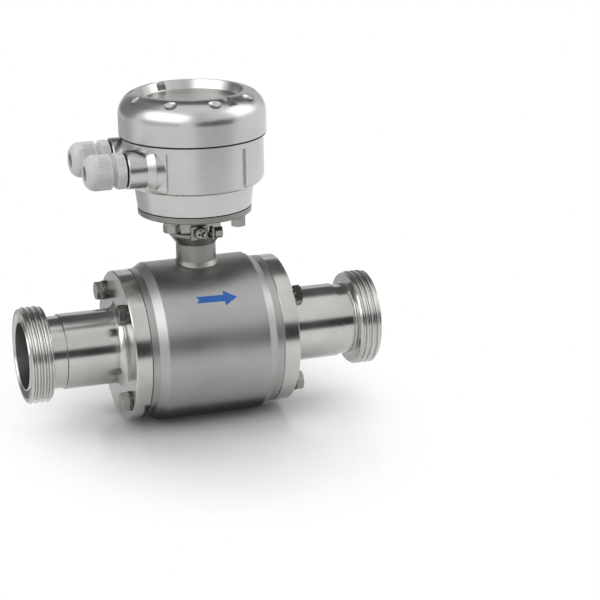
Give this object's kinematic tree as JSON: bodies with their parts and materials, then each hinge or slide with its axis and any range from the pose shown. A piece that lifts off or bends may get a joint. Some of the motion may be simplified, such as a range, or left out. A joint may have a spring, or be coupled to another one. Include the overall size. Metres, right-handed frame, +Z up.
{
  "type": "electromagnetic flow meter",
  "caption": "Hygienic electromagnetic flow meter: short barrel with bolted flanges and threaded union ends, and a round terminal box with domed screw cover on a neck.",
  "frame": {"origin": "on the flow axis at mid-length, right under the neck", "axes": "+X along the flow from inlet to outlet, -Y towards the front, +Z up through the neck and the terminal box"},
  "size_m": [0.264, 0.116, 0.242],
  "materials": {
    "blasted_steel": "bead-blasted stainless steel, mid grey satin",
    "turned_steel": "machined stainless steel with fine turning marks",
    "neck_steel": "darker satin stainless steel",
    "cast_steel": "satin cast stainless steel",
    "bolt_steel": "bright stainless fasteners",
    "seal_rubber": "black elastomer",
    "gland_plastic": "light grey moulded polyamide",
    "insert_rubber": "dark sealing insert",
    "liner_plastic": "white fluoropolymer",
    "insulator_plastic": "off-white insulator",
    "coil_wire": "enamelled copper winding",
    "soft_iron": "bare soft iron",
    "lead_sheath": "grey cable sheath",
    "board": "green laminate",
    "terminal_plastic": "dark grey moulded terminals",
    "terminal_brass": "plated brass screws"
  },
  "bodies": {
    "root": {"sensor_housing": "blasted_steel", "measuring_tube": "turned_steel", "liner": "liner_plastic", "front_electrode": "bolt_steel", "rear_electrode": "bolt_steel", "electrode_insulators": "insulator_plastic", "electrode_nuts": "bolt_steel", "upper_pole": "soft_iron", "lower_pole": "soft_iron", "upper_coil": "coil_wire", "lower_coil": "coil_wire", "yoke": "soft_iron", "neck_tube": "neck_steel", "neck_plug": "seal_rubber", "lead_bundle": "lead_sheath", "neck_collar": "neck_steel", "neck_nut": "bolt_steel", "lock_screw": "bolt_steel", "box_flange": "neck_steel", "ring_gasket": "seal_rubber", "ring_bolts": "bolt_steel", "ring_washers": "bolt_steel", "box_body": "cast_steel", "terminal_plate": "board", "plate_screws": "bolt_steel", "front_terminals": "terminal_plastic", "rear_terminals": "terminal_plastic", "front_terminal_screws": "terminal_brass", "rear_terminal_screws": "terminal_brass", "inlet_end_ring": "blasted_steel", "inlet_spool": "turned_steel", "inlet_flange": "turned_steel", "inlet_union_end": "turned_steel", "inlet_seal": "seal_rubber", "inlet_bolts": "bolt_steel", "inlet_spring_washers": "bolt_steel", "outlet_end_ring": "blasted_steel", "outlet_spool": "turned_steel", "outlet_flange": "turned_steel", "outlet_union_end": "turned_steel", "outlet_seal": "seal_rubber", "outlet_bolts": "bolt_steel", "outlet_spring_washers": "bolt_steel", "front_gland_ring": "seal_rubber", "front_gland_body": "gland_plastic", "rear_gland_ring": "seal_rubber", "rear_gland_body": "gland_plastic"},
    "cover_ring": {"cover_seal": "seal_rubber"},
    "cover": {"cover": "cast_steel"},
    "front_insert": {"front_gland_insert": "insert_rubber"},
    "front_nut": {"front_gland_nut": "gland_plastic"},
    "rear_insert": {"rear_gland_insert": "insert_rubber"},
    "rear_nut": {"rear_gland_nut": "gland_plastic"},
    "earth_clamp": {"earth_clamp": "bolt_steel"},
    "earth_screw": {"earth_screw": "bolt_steel"}
  },
  "joints": [
    {"name": "cover_lift", "type": "slide", "parent": "root", "child": "cover_ring", "axis": [0, 0, 1], "range_m": [0, 0.0101]},
    {"name": "cover_turn", "type": "hinge", "parent": "cover_ring", "child": "cover", "pos_m": [0, 0, 0.1538], "axis": [0, 0, 1], "range_deg": [0, 1800]},
    {"name": "front_gland_slide", "type": "slide", "parent": "root", "child": "front_insert", "axis": [-1, 0, 0], "range_m": [-0.00225, 0.0045]},
    {"name": "front_gland_turn", "type": "hinge", "parent": "front_insert", "child": "front_nut", "pos_m": [-0.0765, -0.0215, 0.135], "axis": [-1, 0, 0], "range_deg": [-541.5, 1083]},
    {"name": "rear_gland_slide", "type": "slide", "parent": "root", "child": "rear_insert", "axis": [-1, 0, 0], "range_m": [-0.00225, 0.0045]},
    {"name": "rear_gland_turn", "type": "hinge", "parent": "rear_insert", "child": "rear_nut", "pos_m": [-0.0765, 0.0215, 0.135], "axis": [-1, 0, 0], "range_deg": [-541.5, 1083]},
    {"name": "earth_clamp_slide", "type": "slide", "parent": "root", "child": "earth_clamp", "axis": [0, -1, 0], "range_m": [0, 0.0024]},
    {"name": "earth_screw_turn", "type": "hinge", "parent": "earth_clamp", "child": "earth_screw", "pos_m": [-0.0028, -0.02177, 0.0844], "axis": [0, -1, 0], "range_deg": [0, 1083]}
  ],
  "couplings": [
    {"joint": "cover_lift", "follows": "cover_turn", "m_per_rad": 0.00031831},
    {"joint": "front_gland_turn", "follows": "front_gland_slide", "rad_per_m": 4188.8},
    {"joint": "rear_gland_turn", "follows": "rear_gland_slide", "rad_per_m": 4188.8},
    {"joint": "earth_screw_turn", "follows": "earth_clamp_slide", "rad_per_m": 7854}
  ]
}
